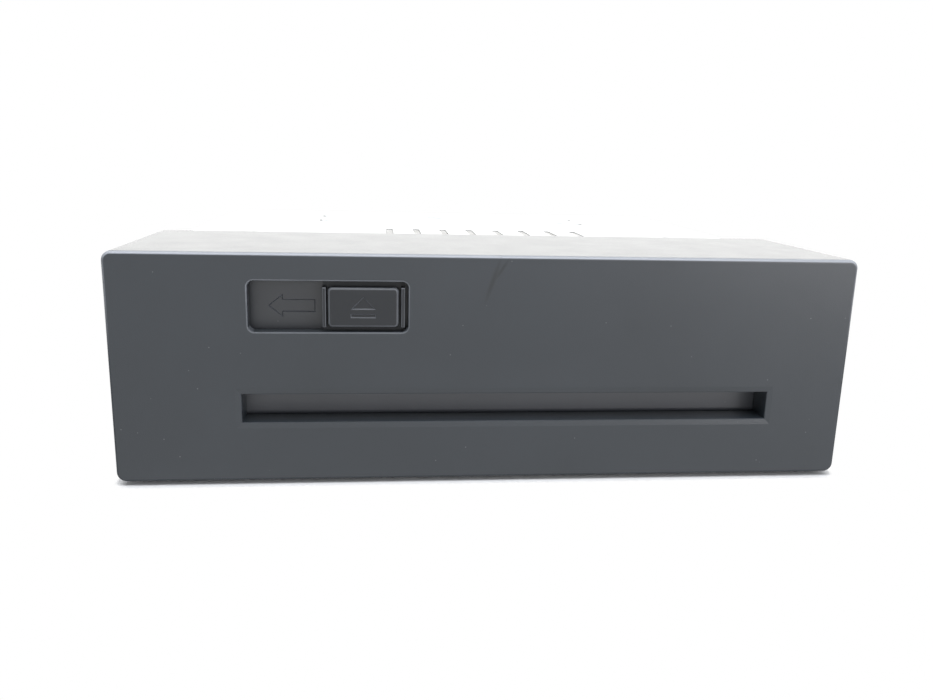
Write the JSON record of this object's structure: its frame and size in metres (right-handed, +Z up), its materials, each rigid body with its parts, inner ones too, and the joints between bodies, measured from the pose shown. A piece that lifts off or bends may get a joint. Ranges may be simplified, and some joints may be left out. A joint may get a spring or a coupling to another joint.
{
  "type": "slot-loading disc drive",
  "caption": "Single-height dashboard disc drive with a plastic front, sprung slot flap, slide-and-push eject cover and a steel case holding a roller loader and player.",
  "frame": {"origin": "bottom centre of the outer box, on the surface that the drive stands on", "axes": "+X to the right of someone facing the drive, +Y back into the dashboard, +Z up"},
  "size_m": [0.18, 0.176, 0.0565],
  "materials": {
    "face_plastic": "fine moulded grain",
    "release_plastic": "satin moulded",
    "key_plastic": "satin",
    "case_steel": "zinc plated sheet",
    "mech_steel": "plated sheet",
    "screw_steel": "plated",
    "ground_steel": "ground bright",
    "rubber": "matte",
    "black_plastic": "satin",
    "gear_nylon": "natural nylon",
    "board_green": "solder mask",
    "aluminium": "extruded",
    "motor_can": "drawn can",
    "brass": "tinned",
    "ribbon_film": "flat cable film",
    "lens_glass": "coated"
  },
  "bodies": {
    "chassis": {"front_bezel": "face_plastic", "arrow_plate": "release_plastic", "bottom_case": "case_steel", "top_cover": "case_steel", "rear_panel": "case_steel", "mid_plate": "case_steel", "mech_base": "mech_steel", "mech_top_guide": "mech_steel", "traverse_plate": "mech_steel", "gear_plate": "mech_steel", "bezel_screws": "screw_steel", "cover_screws": "screw_steel", "rear_screws": "screw_steel", "chassis_screws": "screw_steel", "board_screws": "screw_steel", "rear_stud": "screw_steel", "guide_rods": "ground_steel", "flap_spring": "ground_steel", "clamp_springs": "ground_steel", "rubber_feet": "rubber", "dampers": "rubber", "fan_frame": "black_plastic", "eject_switch": "black_plastic", "power_connector": "black_plastic", "display_connector": "black_plastic", "board_chips": "black_plastic", "front_board": "board_green", "main_board": "board_green", "servo_board": "board_green", "heat_sink": "aluminium", "capacitors": "aluminium", "shield_can": "aluminium", "feed_motor": "motor_can", "loading_motor": "motor_can", "spindle_motor": "motor_can", "connector_pins": "brass", "antenna_jack": "brass", "ribbon_cable": "ribbon_film"},
    "release_slide": {"release_slide": "release_plastic", "pad_springs": "ground_steel"},
    "push_pad": {"push_pad": "release_plastic"},
    "eject_key": {"eject_key": "key_plastic", "switch_plunger": "key_plastic"},
    "shutter_flap": {"shutter_flap": "release_plastic"},
    "fan_rotor": {"fan_rotor": "black_plastic"},
    "turntable": {"turntable": "black_plastic"},
    "lead_screw": {"lead_screw": "ground_steel"},
    "pickup_sled": {"pickup_sled": "black_plastic"},
    "lens": {"lens_holder": "black_plastic", "objective_lens": "lens_glass"},
    "clamp_arm": {"clamp_arm": "mech_steel"},
    "clamper": {"clamper": "black_plastic"},
    "roller_arm": {"roller_arm": "mech_steel"},
    "roller": {"roller_shaft": "ground_steel", "roller_sleeves": "rubber", "roller_gear": "gear_nylon"},
    "idler_gear": {"idler_gear": "gear_nylon"},
    "compound_gear": {"compound_gear": "gear_nylon"},
    "motor_pinion": {"motor_pinion": "gear_nylon"},
    "cam_plate": {"cam_plate": "gear_nylon"}
  },
  "joints": [
    {"name": "release_slide_travel", "type": "slide", "parent": "chassis", "child": "release_slide", "axis": [-1, 0, 0], "range_m": [0, 0.016]},
    {"name": "pad_push", "type": "slide", "parent": "release_slide", "child": "push_pad", "axis": [0, 1, 0], "range_m": [0, 0.001], "stiffness_N_per_m": 400, "springref_m": -0.0005, "deforming": ["pad_springs"]},
    {"name": "eject_key_push", "type": "slide", "parent": "chassis", "child": "eject_key", "axis": [0, 1, 0], "range_m": [0, 0.0004], "stiffness_N_per_m": 800, "springref_m": -0.0003},
    {"name": "flap_swing", "type": "hinge", "parent": "chassis", "child": "shutter_flap", "pos_m": [0, -0.0798, 0.0261], "axis": [1, 0, 0], "range_deg": [0, 75], "stiffness_Nm_per_rad": 0.002, "springref_deg": -17.19, "deforming": ["flap_spring"]},
    {"name": "cam_travel", "type": "slide", "parent": "chassis", "child": "cam_plate", "axis": [0, 1, 0], "range_m": [0, 0.008]},
    {"name": "roller_arm_drop", "type": "hinge", "parent": "chassis", "child": "roller_arm", "pos_m": [0, -0.0465, 0.0152], "axis": [1, 0, 0], "range_deg": [0, 7]},
    {"name": "clamp_arm_drop", "type": "hinge", "parent": "chassis", "child": "clamp_arm", "pos_m": [0, 0.056, 0.0276], "axis": [1, 0, 0], "range_deg": [0, 4], "deforming": ["clamp_springs"]},
    {"name": "roller_spin", "type": "hinge", "parent": "roller_arm", "child": "roller", "pos_m": [0, -0.0665, 0.0152], "axis": [1, 0, 0], "continuous": true},
    {"name": "idler_spin", "type": "hinge", "parent": "chassis", "child": "idler_gear", "pos_m": [0, -0.0665, 0.0257], "axis": [1, 0, 0], "continuous": true},
    {"name": "compound_spin", "type": "hinge", "parent": "chassis", "child": "compound_gear", "pos_m": [0, -0.05827, 0.02095], "axis": [1, 0, 0], "continuous": true},
    {"name": "pinion_spin", "type": "hinge", "parent": "chassis", "child": "motor_pinion", "pos_m": [0, -0.04427, 0.02095], "axis": [1, 0, 0], "continuous": true},
    {"name": "turntable_spin", "type": "hinge", "parent": "chassis", "child": "turntable", "pos_m": [0.0056, -0.002, 0.0181], "axis": [0, 0, 1], "continuous": true},
    {"name": "clamper_spin", "type": "hinge", "parent": "clamp_arm", "child": "clamper", "pos_m": [0.0056, -0.002, 0.0271], "axis": [0, 0, 1], "continuous": true},
    {"name": "sled_travel", "type": "slide", "parent": "chassis", "child": "pickup_sled", "axis": [-1, 0, 0], "range_m": [0, 0.035]},
    {"name": "lead_screw_spin", "type": "hinge", "parent": "chassis", "child": "lead_screw", "pos_m": [0, -0.032, 0.0136], "axis": [1, 0, 0], "range_deg": [0, 4200]},
    {"name": "lens_focus", "type": "slide", "parent": "pickup_sled", "child": "lens", "axis": [0, 0, 1], "range_m": [-0.0004, 0.0004], "stiffness_N_per_m": 60},
    {"name": "fan_spin", "type": "hinge", "parent": "chassis", "child": "fan_rotor", "pos_m": [0.05, 0.0713, 0.0291], "axis": [0, 1, 0], "continuous": true}
  ],
  "couplings": [
    {"joint": "roller_arm_drop", "follows": "cam_travel", "rad_per_m": 15.272},
    {"joint": "clamp_arm_drop", "follows": "cam_travel", "rad_per_m": 8.7266},
    {"joint": "idler_spin", "follows": "roller_spin", "ratio": -0.75},
    {"joint": "compound_spin", "follows": "roller_spin", "ratio": 1.2857},
    {"joint": "pinion_spin", "follows": "roller_spin", "ratio": -3.8571},
    {"joint": "clamper_spin", "follows": "turntable_spin", "ratio": 1},
    {"joint": "lead_screw_spin", "follows": "sled_travel", "rad_per_m": 2094.4}
  ]
}
